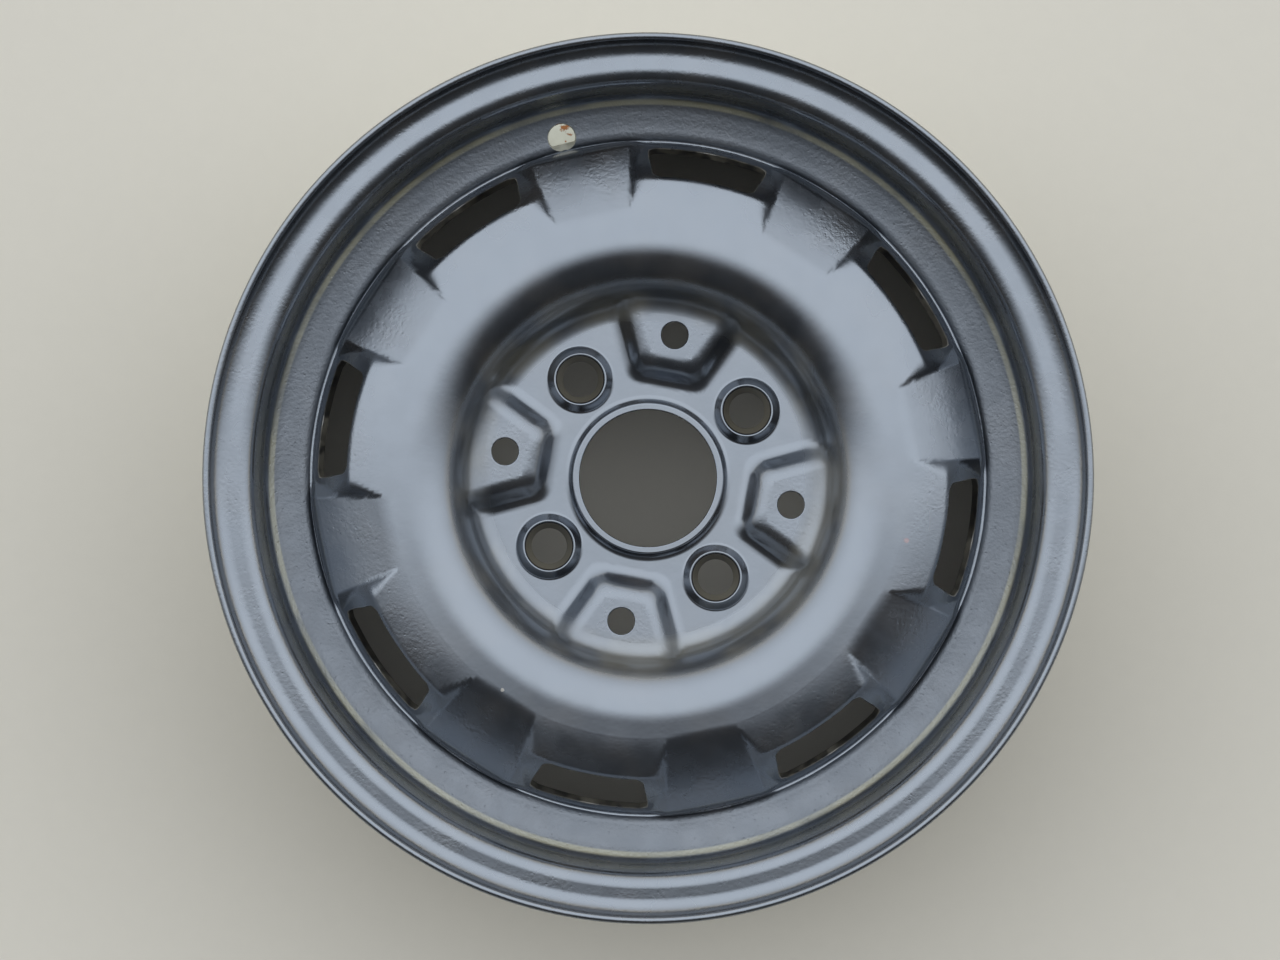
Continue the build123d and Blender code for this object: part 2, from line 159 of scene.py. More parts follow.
def bent_profile(lines, bends, run_steps, arc_step):
    """Points and left normals along straight runs joined by circular bends.

    It starts at the first line's own point and ends at the last line's. A run is a segment between the
    tangent points of its two bends. A bend of radius R through an angle a is the arc from the tangent point
    at R tan(|a| / 2) before the corner, sampled every arc_step degrees.
    """
    points = []
    normals = []
    here = np.array(lines[0][:2], float)
    for k, line in enumerate(lines):
        way = towards(line[2])
        left = np.array([-way[1], way[0]])
        stop = np.array(line[:2], float)
        if k < len(bends):
            turn = turn_between(line, lines[k + 1])
            stop = crossing(line, lines[k + 1]) - way * (bends[k] * tan_deg(abs(turn) / 2))
        share = np.linspace(0.0, 1.0, run_steps[k] + 1)[:, None]
        points.append(here + (stop - here) * share)
        normals.append(np.repeat(left[None], len(share), axis=0))
        if k < len(bends):
            reach = bends[k] if turn > 0 else -bends[k]
            count = max(2, math.ceil(abs(turn) / arc_step))
            angles = np.radians(line[2] + turn * np.linspace(0.0, 1.0, count + 1)[1:])
            lefts = np.stack([-np.sin(angles), np.cos(angles)], axis=1)
            arc = stop + left * reach - lefts * reach
            points.append(arc[:-1])
            normals.append(lefts[:-1])
            here = arc[-1]
    points = np.concatenate(points)
    keep = np.concatenate([[True], np.diff(arc_lengths(points)) > 1e-6])
    return points[keep], np.concatenate(normals)[keep]


# Sizes of the real wheel, in millimetres and degrees

SHEET = 3.2
HOOP = 2.9
SKIRT = 140.3
SKIRT_START = -8.0
SKIRT_END = -11.48

# Hub, bowl and crown
BORE = 28.55
COLLAR = 31.6
COLLAR_TOP = 8.7
HUB_FLAT = 35.2
FOOT_R = 66.1
FOOT_FILLET = 9.0
BOWL = 76.0
CROWN_R = 97.4
CROWN_Z = 8.8
CROWN_FILLET = 22.2

# Ramps and lands, the widths over which their edges are rounded, and how far out a rounding is full
LAND_SLOPE = 7.0
LAND_LINE = (100.106, 30.835, -LAND_SLOPE)
APEX = 108.6
APEX_ROUND = 1.1
RAMP = 26.5
RAMP_EDGE = 136.0
PAST_FALL = 0.7
PAST_REACH = 6.0
LAND_EDGE = 138.3
LAND_START = 106.0
LAND_ARC = 80.0
NOSE = 6.0
NOSE_END = 124.8
NOSE_WALL = 46.0
CREASE_START = 15.2
CREASE_FLARE = 0.193
CREASE_HALF = 8.4
CREASE_EASE = 3.0
CREASE_ROUND = 0.5
CREASE_REACH = 4.0
SIDE_TILT = 46.0
SIDE_ROUND = 0.7
LAND_ROUND = 4.6
LAND_REACH = 15.0

# Vents, and the steps of their wall through the sheet: how far back from the outline, and how deep
VENT_OUTER = 137.3
VENT_INNER_HALF = 9.5
VENT_OUTER_HALF = 10.7
VENT_CORNER = 3.4
VENT_WALL = (
    (0.5, 0.0), (0.15, 0.15), (0.0, 0.5), (0.0, SHEET / 2),
    (0.0, SHEET - 0.25), (0.08, SHEET - 0.08), (0.25, SHEET),
)

# Clip pads, and the radii where their fillet fades out and past which there are none
PAD_TOP = 11.2
PAD_START = 48.4
PAD_HALF = 10.0
PAD_FLARE = 25.4
PAD_SLOPE = 45.5
PAD_CORNER = 4.5
PAD_ROUND = 3.2
PAD_FILLET = 2.4
PAD_FADE = 9.0
PAD_FADE_END = 78.0
PADS_END = 84.0

# Bolt seats, clip holes and valve hole
BOLT_CIRCLE = 50.0
BOLT_HOLE = 7.4
BOLT_TOP = 6.2
BOLT_FLAT = 14.6
CLIP_CIRCLE = 60.5
CLIP_HOLE = 5.6
CLIP_FLAT = 7.0
VALVE_CIRCLE = 146.4
VALVE_HOLE = 5.65
VALVE_AZIMUTH = 114.8

# Step for slopes, width that leaves a corner sharp, and distance within which points are one
STEP = 0.02
SHARP = 0.001
MERGE = 0.0005


# Pressed disc: the height of its outboard skin over (x, y)


def line_height(line, r):
    return line[1] + (r - line[0]) * tan_deg(line[2])


def bowl_height(r):
    """Flat hub, foot arc, steep wall and crown arc, each tangent to the next, then the crown's slope."""
    foot_end = FOOT_R + FOOT_FILLET * sin_deg(BOWL)
    crown_start = CROWN_R - CROWN_FILLET * sin_deg(BOWL)
    foot_z = SHEET + FOOT_FILLET
    foot = foot_z - arch(FOOT_FILLET, np.maximum(r - FOOT_R, 0.0))
    wall = foot_z - FOOT_FILLET * cos_deg(BOWL) + (r - foot_end) * tan_deg(BOWL)
    crown = CROWN_Z + arch(CROWN_FILLET, r - CROWN_R)
    z = np.where(r < foot_end, foot, np.where(r < crown_start, wall, crown))
    return np.where(r < LAND_LINE[0], z, line_height(LAND_LINE, r))


def nose_height(r):
    """A land's top: the crown's line, a broad arc, the tight arc of its nose and the steep front wall."""
    broad_r = LAND_START - LAND_ARC * sin_deg(LAND_SLOPE)
    broad_z = line_height(LAND_LINE, LAND_START) - LAND_ARC * cos_deg(LAND_SLOPE)
    nose_r = NOSE_END - NOSE * sin_deg(NOSE_WALL)
    meeting = math.asin((nose_r - broad_r) / (LAND_ARC - NOSE))
    nose_z = broad_z + (LAND_ARC - NOSE) * math.cos(meeting)
    broad = broad_z + arch(LAND_ARC, r - broad_r)
    nose = nose_z + arch(NOSE, r - nose_r)
    wall = nose_z + NOSE * cos_deg(NOSE_WALL) - (r - NOSE_END) * tan_deg(NOSE_WALL)
    top = np.where(r < LAND_START, line_height(LAND_LINE, r), broad)
    return np.where(r < broad_r + LAND_ARC * math.sin(meeting), top, np.where(r < NOSE_END, nose, wall))


def ramp_azimuth(phi):
    """Degrees from the middle of the nearest ramp."""
    return phi % PERIOD - PERIOD / 2


def on_land(phi):
    """0 on the facets, 1 on the lands, eased over CREASE_EASE degrees past a crease."""
    return ease((np.abs(ramp_azimuth(phi)) - CREASE_HALF) / CREASE_EASE)


def bend_edge(phi):
    """Radius where the skirt's bend starts: a chord across each facet, and LAND_EDGE on the lands."""
    chord = RAMP_EDGE / cos_deg(np.minimum(np.abs(ramp_azimuth(phi)), CREASE_HALF))
    return chord + (LAND_EDGE - chord) * on_land(phi)


def bend_slope(phi):
    """Slope at the bend's start, in degrees: the ramp's on the facets, the front wall's on the lands."""
    return RAMP + (NOSE_WALL - RAMP) * on_land(phi)


def ramp_height(r, psi):
    """A flat facet falling at RAMP degrees from its apex line; past its creases it goes on as a cone."""
    forward = r * cos_deg(np.clip(psi, -CREASE_HALF, CREASE_HALF))
    return line_height(LAND_LINE, APEX) - (forward - APEX) * tan_deg(RAMP)


def outer_height(r, phi):
    """Crown, ramps and lands: the lower of the crown's slope and the ramp, or the land where it is higher.

    Past a crease the ramp falls away under the land, so that the land's front wall runs on into the bend.
    The roundings start beside the apex and grow outward.
    """
    psi = ramp_azimuth(phi)
    across = r * sin_deg(np.abs(psi))
    past = across - CREASE_START - CREASE_FLARE * (r * cos_deg(psi) - APEX)
    ramp = ramp_height(r, psi) - PAST_FALL * ease((r - APEX) / PAST_REACH) * np.maximum(past, 0.0)
    base = smooth_min(line_height(LAND_LINE, r), ramp, APEX_ROUND)
    side = ramp_height(r, CREASE_HALF) + past / tan_deg(SIDE_TILT)
    soft = SIDE_ROUND + (LAND_ROUND - SIDE_ROUND) * ease((r - APEX - 1.0) / LAND_REACH)
    land = smooth_min(nose_height(r), side, soft)
    return smooth_max(base, land, SHARP + CREASE_ROUND * ease((r - APEX + 0.6) / CREASE_REACH))


def bend_arc(phi):
    """Radius and centre height of the bend into the skirt."""
    edge = bend_edge(phi)
    slope = bend_slope(phi)
    radius = (SKIRT - edge) / (1.0 - sin_deg(slope))
    return radius, outer_height(edge, phi) - radius * cos_deg(slope)


def bend_height(r, phi):
    """The arc from the bend's edge down to the skirt, tangent to both."""
    radius, centre_z = bend_arc(phi)
    return centre_z + arch(radius, r - SKIRT + radius)


def pad_height(r, phi):
    """A clip pad: its top runs out in an arc up the bowl's wall, and three sides fall from its outline."""
    turned = (phi + PERIOD) % (2 * PERIOD) - PERIOD
    along = r * cos_deg(turned)
    across = np.abs(r * sin_deg(turned))
    flank = (across - PAD_HALF) * cos_deg(PAD_FLARE) - (along - PAD_START) * sin_deg(PAD_FLARE)
    out = smooth_max(PAD_START - along, flank, PAD_CORNER)
    start = FOOT_R + (PAD_TOP - SHEET) / tan_deg(BOWL)
    rise = FOOT_FILLET - arch(FOOT_FILLET, np.maximum(r - start, 0.0))
    top = np.where(r < start + FOOT_FILLET * sin_deg(BOWL), PAD_TOP + rise, bowl_height(r))
    return top - smooth_max(out, 0.0, PAD_ROUND) * tan_deg(PAD_SLOPE)


def skin_height(r, phi):
    """Height of the disc's outboard skin, without the bolt seats, from the hub's flat to the skirt."""
    bowl = bowl_height(r)
    lift = pad_height(r, phi) - bowl
    fillet = SHARP + PAD_FILLET * ease((PAD_FADE_END - r) / PAD_FADE)
    hub = bowl + smooth_max(lift, 0.0, fillet)
    outer = np.where(r < bend_edge(phi), outer_height(r, phi), bend_height(r, phi))
    return np.where(r < PADS_END, hub, np.where(r < LAND_LINE[0], bowl, outer))


def skin_point(r, phi):
    """Points (x, y, z) of the skin at radius r and azimuth phi, in degrees."""
    return polar(r, phi, skin_height(r, phi))


def skin_normal(r, phi):
    """Outward normals of the skin, from the height's differences over STEP along and across the radius."""
    turn = np.degrees(STEP / r)
    fall = (skin_height(r + STEP, phi) - skin_height(r - STEP, phi)) / (2 * STEP)
    side = (skin_height(r, phi + turn) - skin_height(r, phi - turn)) / (2 * STEP)
    c = cos_deg(phi)
    s = sin_deg(phi)
    return unit(np.stack([side * s - fall * c, -side * c - fall * s, np.ones_like(r)], axis=-1))


# Meshes put together from grids of points


class Shell:
    """Points, faces with one normal per corner, and a material number per face, added grid by grid."""

    def __init__(self):
        self.count = 0
        self.grids = []

    def add_grid(self, points, normals, around=True, slot=0, keep=None):
        """Quads over a grid of points; around joins its last column to its first, and keep drops cells."""
        numbers = self.count + np.arange(points[..., 0].size).reshape(points.shape[:-1])
        self.count += numbers.size
        if around:
            numbers, normals = (np.concatenate([grid, grid[:, :1]], axis=1) for grid in (numbers, normals))
        quads, corners = (
            np.stack([grid[:-1, :-1], grid[1:, :-1], grid[1:, 1:], grid[:-1, 1:]], axis=2)
            for grid in (numbers, normals)
        )
        if keep is None:
            keep = np.ones(quads.shape[:2], bool)
        self.grids.append((points.reshape(-1, 3), quads[keep], corners[keep], np.full(keep.sum(), slot)))

    def build(self, name, *materials):
        """The mesh object: coincident points merged, faces smooth, and corner normals as worked out."""
        points, faces, corners, slots = (np.concatenate(parts) for parts in zip(*self.grids))
        key = np.round(points / MERGE).astype(np.int64)
        _, first, same = np.unique(key, axis=0, return_index=True, return_inverse=True)
        faces = same.reshape(-1)[faces]
        points = points[first]
        fresh = faces != np.roll(faces, -1, axis=1)
        whole = fresh.sum(axis=1) >= 3
        faces, corners, slots, fresh = faces[whole], corners[whole], slots[whole], fresh[whole]
        sizes = fresh.sum(axis=1)
        loops = faces[fresh]
        starts = np.concatenate([[0], np.cumsum(sizes)[:-1]])
        mesh = bpy.data.meshes.new(name)
        mesh.vertices.add(len(points))
        mesh.vertices.foreach_set("co", (points * MM).astype(np.float32).ravel())
        mesh.loops.add(len(loops))
        mesh.loops.foreach_set("vertex_index", loops.astype(np.int32))
        mesh.polygons.add(len(sizes))
        mesh.polygons.foreach_set("loop_start", starts.astype(np.int32))
        mesh.polygons.foreach_set("use_smooth", np.ones(len(sizes), bool))
        mesh.polygons.foreach_set("material_index", slots.astype(np.int32))
        mesh.update(calc_edges=True)
        mesh.validate()
        mesh.normals_split_custom_set(unit(corners[fresh]).tolist())
        for material in materials:
            mesh.materials.append(material)
        obj = bpy.data.objects.new(name, mesh)
        bpy.context.scene.collection.objects.link(obj)
        return obj


def face_normals(points, around=True):
    """Normals of a grid of points from its own differences, for walls and small edges."""
    if around:
        wide = np.concatenate([points[:, -1:], points, points[:, :1]], axis=1)
        along = np.gradient(wide, axis=1)[:, 1:-1]
    else:
        along = np.gradient(points, axis=1)
    return unit(np.cross(np.gradient(points, axis=0), along))


def window_loop(rows, columns):
    """Grid positions round a window: along its first row, last column, last row and first column."""
    i0, i1 = rows
    j0, j1 = columns
    wide = j1 - j0
    tall = i1 - i0
    i = np.concatenate([np.full(wide, i0), np.arange(i0, i1), np.full(wide, i1), np.arange(i1, i0, -1)])
    j = np.concatenate([np.arange(j0, j1), np.full(tall, j1), np.arange(j1, j0, -1), np.full(tall, j0)])
    return i, j


def turned_rings(profile, normals, angles, centre=(0.0, 0.0)):
    """A profile (distance, z) and its normals carried round an upright line at centre to each angle."""
    rings = polar(profile[:, :1], angles, profile[:, 1:]) + np.array([*centre, 0.0])
    return rings, polar(normals[:, :1], angles, normals[:, 1:])


# Pressed disc: its grid, and the windows left in it: first radius, last radius, half width in degrees

LAND_TOP_HALF = 9.5
LAND_SIDE_END = 15.7
VENT_WINDOW = (122.5, 138.85, 11.5)
BOLT_WINDOW = (HUB_FLAT, 64.84, 17.21)
CLIP_WINDOW = (52.24, 68.7, 9.5)


def disc_columns():
    """Azimuths of one land's columns, with close steps over its two sides, and then of all the columns."""
    middle = np.linspace(-LAND_TOP_HALF, LAND_TOP_HALF, 9)
    side = np.linspace(LAND_TOP_HALF, LAND_SIDE_END, 10)[1:]
    ramp = LAND_SIDE_END + np.arange(1, 5) * (PERIOD - 2 * LAND_SIDE_END) / 9
    half = np.concatenate([side, ramp])
    period = np.concatenate([-half[::-1], middle, half])
    return period, np.concatenate([period + PERIOD * k for k in range(LANDS)])


def disc_radii():
    """Radii of the skin's rings: up to the crown's slope, then on to the bend, close at the noses."""
    flat = np.linspace(HUB_FLAT, FOOT_R, 26)
    foot = FOOT_R + FOOT_FILLET * sin_deg(np.linspace(0.0, BOWL, 10)[1:])
    crown = CROWN_R - CROWN_FILLET * sin_deg(np.linspace(BOWL, -LAND_SLOPE, 20))
    slope = [101.5, 103.0, 104.5, 106.0, 107.0, 107.8, 108.4, 109.0, 109.8, 111.0, 113.0, 115.0, 117.0]
    nose = [119.0, 121.0, 122.2, 122.7, 123.2, 123.7, 124.2, 124.6, 125.0]
    front = [126.4, 128.4, 130.5, 132.6, 134.5, 136.0, 137.2, LAND_EDGE]
    return np.concatenate([flat, foot, crown]), np.array(slope + nose + front)


def disc_skin():
    """Radii, azimuths, points and normals of the outboard skin's rings, from the hub to the skirt."""
    _, phi = disc_columns()
    inner, outer = disc_radii()
    share = (bend_edge(phi) - LAND_LINE[0]) / (LAND_EDGE - LAND_LINE[0])
    r = np.concatenate([
        np.repeat(inner[:, None], len(phi), axis=1),
        LAND_LINE[0] + (outer[:, None] - LAND_LINE[0]) * share,
    ])
    azimuth = np.broadcast_to(phi, r.shape)
    points = skin_point(r, azimuth)
    normals = skin_normal(np.minimum(r, bend_edge(azimuth) - 2 * STEP), azimuth)

    radius, centre_z = bend_arc(phi)
    turned = np.linspace(0.0, 1.0, 10)[1:, None]
    slope = bend_slope(phi) + (90.0 - bend_slope(phi)) * turned
    bend_r = SKIRT - radius * (1.0 - sin_deg(slope))
    bend = polar(bend_r, phi, centre_z + radius * cos_deg(slope))
    lean = np.where(np.abs(ramp_azimuth(phi)) < CREASE_HALF, ramp_azimuth(phi), 0.0)
    bend_normals = polar(sin_deg(slope), phi - lean * (1.0 - turned), cos_deg(slope))
    r = np.concatenate([r, bend_r])
    azimuth = np.broadcast_to(phi, r.shape)
    return r, azimuth, np.concatenate([points, bend]), np.concatenate([normals, bend_normals])


def hub_profile():
    """From the back flat through the lead-in, up the bore and over the collar to the front flat."""
    lines = [
        (HUB_FLAT, 0.0, 180.0), (BORE + 1.5, 0.0, 135.0), (BORE, 0.0, 90.0),
        (0.0, COLLAR_TOP, 0.0), (COLLAR, 0.0, -90.0), (HUB_FLAT, SHEET, 0.0),
    ]
    return bent_profile(lines, [0.5, 0.5, 0.5, 0.9, 3.3], [1, 1, 2, 1, 1, 1], 20.0)


def bolt_profile():
    """From the front round the raised ring, down its 60 degree seat and out again over the groove."""
    lines = [
        (BOLT_FLAT, SHEET, 180.0), (13.8, SHEET, 134.6), (10.85, BOLT_TOP, 180.0), (10.25, BOLT_TOP, 240.0),
        (BOLT_HOLE, 0.0, 270.0), (0.0, 0.0, 0.0), (8.6, 0.0, 60.0), (0.0, 1.8, 0.0), (13.6, 0.0, -60.0),
        (BOLT_FLAT, 0.0, 0.0),
    ]
    bends = [1.7, 0.5, 0.45, 0.5, 0.25, 0.4, 0.5, 0.5, 0.4]
    return bent_profile(lines, bends, [1, 1, 1, 4, 1, 1, 1, 1, 1, 1], 14.0)


def clip_profile():
    """From a clip pad's top, down the wall of its hole and out under the pad."""
    under = PAD_TOP - SHEET
    lines = [(CLIP_FLAT, PAD_TOP, 180.0), (CLIP_HOLE, 0.0, 270.0), (CLIP_FLAT, under, 0.0)]
    return bent_profile(lines, [0.5, 0.3], [1, 2, 1], 18.0)


def skirt_profile():
    """The skirt's sheared end, from its outer wall to its inner wall."""
    lines = [(SKIRT, SKIRT_START, -90.0), (0.0, SKIRT_END, 180.0), (SKIRT - SHEET, SKIRT_START, 90.0)]
    return bent_profile(lines, [0.4, 0.4], [1, 1, 1], 22.0)


def round_window(shell, front, back, middle, profile, outward):
    """Fills a window round a hole: flat rings in to the profile, the profile, and flat rings out again.

    front and back are the window's loops of points on the two sides, and each point has its own column.
    """
    angles = np.degrees(np.arctan2(front[:, 1] - middle[1], front[:, 0] - middle[0]))
    rings, normals = turned_rings(profile, outward, angles, middle)
    steps = np.linspace(0.0, 1.0, 4)[:, None, None]
    start = front + (rings[0] - front) * steps
    stop = rings[-1] + (back - rings[-1]) * steps
    up = np.broadcast_to([0.0, 0.0, 1.0], start.shape)
    shell.add_grid(start, up)
    shell.add_grid(rings, normals)
    shell.add_grid(stop, -up)


def vent_outline(count_in, count_side):
    """A vent's edge as (r, degrees), matched to a window with count_in columns and count_side rows.

    A rounded rectangle measured along the sheet: its length follows the meridian, and its half width grows
    from VENT_INNER_HALF at the nose to VENT_OUTER_HALF at the ledge.
    """
    table_r = np.linspace(NOSE_END, VENT_OUTER, 400)
    run = arc_lengths(np.stack([table_r, skin_height(table_r, 0.0)], axis=1))
    half_run = run[-1] / 2
    across = np.linspace(-1.0, 1.0, count_in + 1)
    up = np.linspace(-1.0, 1.0, count_side + 1)
    p = np.concatenate([np.full(count_in, -1.0), up[:-1], np.full(count_in, 1.0), up[:0:-1]])
    q = np.concatenate([across[:-1], np.full(count_side, 1.0), across[:0:-1], np.full(count_side, -1.0)])
    share = (p + 1) / 2
    half_angle = VENT_INNER_HALF + (VENT_OUTER_HALF - VENT_INNER_HALF) * share
    half_width = np.radians(half_angle) * (NOSE_END + (VENT_OUTER - NOSE_END) * share)
    x = p * half_run
    y = q * half_width
    over_x = np.abs(x) - (half_run - VENT_CORNER)
    over_y = np.abs(y) - (half_width - VENT_CORNER)
    corner = (over_x > 0) & (over_y > 0)
    scale = VENT_CORNER / np.maximum(np.hypot(over_x, over_y), 1e-9)
    x = np.where(corner, np.sign(x) * (half_run - VENT_CORNER + over_x * scale), x)
    y = np.where(corner, np.sign(y) * (half_width - VENT_CORNER + over_y * scale), y)
    r = np.interp(x + half_run, run, table_r)
    return r, np.degrees(y / r)


def vent_window(shell, loop_r, loop_phi, front, front_normals, azimuth, counts):
    """Fills a vent's window: rings over both skins to the vent's edge, and its wall square to the sheet."""
    outline_r, outline_phi = vent_outline(*counts)
    shares = np.linspace(0.0, 1.0, 6)[:, None]
    ring_r = loop_r + (outline_r - loop_r) * shares
    ring_phi = loop_phi + (outline_phi + azimuth - loop_phi) * shares
    skin = skin_point(ring_r, ring_phi)
    normals = skin_normal(ring_r, ring_phi)
    skin[0] = front
    normals[0] = front_normals
    n = normals[-1]
    out = skin[-2] - skin[-1]
    out = unit(out - np.sum(out * n, axis=-1, keepdims=True) * n)
    walls = np.stack([skin[-1] + out * back - n * deep for back, deep in VENT_WALL])
    wall_normals = np.stack([n, unit(n - out), -out, -out, -out, unit(-out - n), -n])
    skin[-1] = walls[0]
    under = skin - normals * SHEET
    under[-1] = walls[-1]
    shell.add_grid(skin, normals)
    shell.add_grid(walls, wall_normals, slot=1)
    shell.add_grid(under[::-1], -normals[::-1])


def disc_shell():
    """The whole pressed disc as one closed shell: slot 0 the enamel, slot 1 the vents' sheared walls."""
    shell = Shell()
    period, phi = disc_columns()
    width = len(period)
    r, azimuth, front, normals = disc_skin()
    back = front - normals * SHEET
    keep = np.ones((len(r) - 1, len(phi)), bool)

    def opened(land, first, last, half):
        """Takes a window out of the grid, and gives its loop and its counts of columns and rows."""
        rows = [int(np.argmin(np.abs(r[:, width // 2] - radius))) for radius in (first, last)]
        columns = [land * width + int(np.argmin(np.abs(period - angle))) for angle in (-half, half)]
        keep[slice(*rows), slice(*columns)] = False
        return window_loop(rows, columns), (columns[1] - columns[0], rows[1] - rows[0])

    bolt = (BOLT_WINDOW, BOLT_CIRCLE, *bolt_profile())
    clip = (CLIP_WINDOW, CLIP_CIRCLE, *clip_profile())
    for land in range(LANDS):
        middle = land * PERIOD
        (i, j), counts = opened(land, *VENT_WINDOW)
        vent_window(shell, r[i, j], azimuth[i, j], front[i, j], normals[i, j], middle, counts)
        window, circle, profile, lefts = bolt if land % 2 else clip
        (i, j), _ = opened(land, *window)
        centre = (circle * cos_deg(middle), circle * sin_deg(middle))
        round_window(shell, front[i, j], back[i, j], centre, profile, -lefts)

    shell.add_grid(*turned_rings(*hub_profile(), phi))
    shell.add_grid(front, normals, keep=keep)
    shell.add_grid(back[::-1], -normals[::-1], keep=keep[::-1])
    skirt, skirt_normals = turned_rings(*skirt_profile(), phi)
    shell.add_grid(skirt, skirt_normals)
    for side, ring, way in ((front, skirt[:1], 1), (back, skirt[-1:], -1)):
        strip = np.concatenate([side[-1:], ring])[::way]
        shell.add_grid(strip, np.repeat(normals[-1:], 2, axis=0) * way)
    return shell


# Enamel seam, and the waves in which its level wanders: height, count round the wheel and start

SEAM_IN = 139.5
SEAM_OUT = 141.1
SEAM_LEVEL = 8.53
SEAM_SAG = 0.22
SEAM_DEPTH = 1.2
SEAM_WAVES = ((0.14, 5, 0.7), (0.1, 13, 2.0), (0.06, 41, 0.0))


def seam_shell():
    """The enamel that has run together in the groove between disc and rim: a closed ring with a hollow top.

    Its top sags SEAM_SAG below its level, and its underside is a wedge SEAM_DEPTH deep. Both edges lie
    in the steel.
    """
    shell = Shell()
    turn = np.arange(0.0, 360.0)
    wander = sum(height * np.sin(count * np.radians(turn) + start) for height, count, start in SEAM_WAVES)
    across = np.linspace(0.0, 1.0, 9)[:, None]
    top = SEAM_LEVEL + wander - SEAM_SAG * np.sin(math.pi * across)
    upper = polar(SEAM_IN + (SEAM_OUT - SEAM_IN) * across, turn, top)
    low_z = np.stack([top[-1], top[0] - SEAM_DEPTH, top[0]])
    lower = polar(np.array([SEAM_OUT, SKIRT, SEAM_IN])[:, None], turn, low_z)
    for part in (upper, lower):
        shell.add_grid(part, face_normals(part))
    return shell


# Rolled rim

RIM_LOW = -83.5
RIM_HIGH = 43.5
BEAD_R = 164.7
WELL_R = 143.2
WELL_LOW = -25.0
LIP_R = 9.5
LIP_CENTRE = 172.5
LIP_DROP = 1.55
LIP_LEAN = math.degrees(math.asin(LIP_DROP / (LIP_R - HOOP / 2)))
LIP_TIP = 0.5
FLANGE_FALL = 6.0
WALL_LEVEL = 10.5
WALL_MIDDLE = 147.0
WALL_FOOT_SLOPE = 4.0
WALL_TOP_SLOPE = 14.5
RIM_BENDS = [9.5, 3.1, 13.4, 1.6, 1.6, 26.0, 13.4, 3.1, 9.5]
RIM_STEPS = [1, 2, 7, 3, 8, 2, 3, 7, 2, 1]
RIM_ARC_STEP = 9.0
RIM_COLUMNS = 288

# Valve hole: the slope that it is bored square to, its rounded edge, and its window in the hoop's grid, as
# columns each side and as distances up the wall from its middle; on the tyre's side it ends at VALVE_LOWEST
VALVE_SLOPE = 10.0
VALVE_ROUND = 0.35
VALVE_COLUMNS = 3
VALVE_FIRST = -9.0
VALVE_EDGE = -8.5
VALVE_LAST = 8.0
VALVE_LOWEST = -3.0
WALL_TOP = 30.0


def lip_line(flange_z, side):
    """The straight end of a flange's curl, as a line at its tip; side is 1 outboard and -1 inboard."""
    heading = 90.0 + side * LIP_LEAN
    r = LIP_CENTRE + LIP_R * cos_deg(LIP_LEAN) + side * LIP_TIP * cos_deg(heading)
    z = flange_z + side * LIP_R * (1 + sin_deg(LIP_LEAN)) + side * LIP_TIP * sin_deg(heading)
    return (r, z, heading)


def rim_lines():
    """The tyre's side of the section from the inboard lip to the outboard lip, as lines."""
    foot = (SKIRT, WALL_LEVEL, WALL_FOOT_SLOPE)
    top = (WALL_MIDDLE, line_height(foot, WALL_MIDDLE), WALL_TOP_SLOPE)
    return [
        lip_line(RIM_LOW, -1), (LIP_CENTRE, RIM_LOW, 180.0), (BEAD_R, RIM_LOW, 95.0),
        (WELL_R, WELL_LOW, 160.0), (WELL_R, 0.0, 90.0), shifted(foot, HOOP), shifted(top, HOOP),
        (BEAD_R, RIM_HIGH, 85.0), (LIP_CENTRE, RIM_HIGH, -FLANGE_FALL), lip_line(RIM_HIGH, 1),
    ]


def rim_side(depth):
    """One side of the hoop's sheet, moved towards the axle by depth: points and left normals."""
    lines = rim_lines()
    turns = [turn_between(first, second) for first, second in zip(lines, lines[1:])]
    bends = [radius - depth if turn > 0 else radius + depth for radius, turn in zip(RIM_BENDS, turns)]
    return bent_profile([shifted(line, -depth) for line in lines], bends, RIM_STEPS, RIM_ARC_STEP)


def lip_arc(start, end, outward):
    """The full round of a lip and its normals: the half circle from start to end on the side of outward."""
    middle = (start + end) / 2
    arm = start - middle
    radius = np.linalg.norm(arm)
    angles = np.linspace(0.0, math.pi, 9)[:, None]
    normals = arm / radius * np.cos(angles) + outward * np.sin(angles)
    return middle + normals * radius, normals


def valve_rings(profile, normals, offset, lowest, loop, columns, phi):
    """Rings on one side of the hoop, from its window's edge in to the valve hole, and their normals.

    A point keeps its bearing from the hole's middle. It moves along the profile and across it, in shares of
    the way from the window's edge to the hole's radius, and ends no lower than lowest.
    """
    i, j = window_loop(loop, columns)
    run = arc_lengths(profile)
    edge_side = np.radians(phi[j] - VALVE_AZIMUTH) * profile[i, 0]
    edge_offset = np.where(i == loop[0], VALVE_EDGE, np.maximum(offset[i], VALVE_EDGE))
    angle = np.arctan2(edge_side, edge_offset)
    reach = VALVE_HOLE + VALVE_ROUND
    rows = np.arange(loop[0], loop[1] + 1)
    rising = np.maximum.accumulate(offset[rows]) + 1e-6 * rows
    aim_run = np.interp(np.maximum(reach * np.cos(angle), lowest), rising, run[rows])
    steps = np.array([0.0, 0.3, 0.6, 0.85, 1.0])[:, None]
    ring_run = run[i] + (aim_run - run[i]) * steps
    ring_side = edge_side + (reach * np.sin(angle) - edge_side) * steps
    r, z, out_r, out_z = (np.interp(ring_run, run, column) for column in (*profile.T, *normals.T))
    turn = VALVE_AZIMUTH + np.degrees(ring_side / r)
    rings = polar(r, turn, z)
    rings[0] = polar(profile[i, 0], phi[j], profile[i, 1])
    return rings, unit(polar(out_r, turn, out_z))


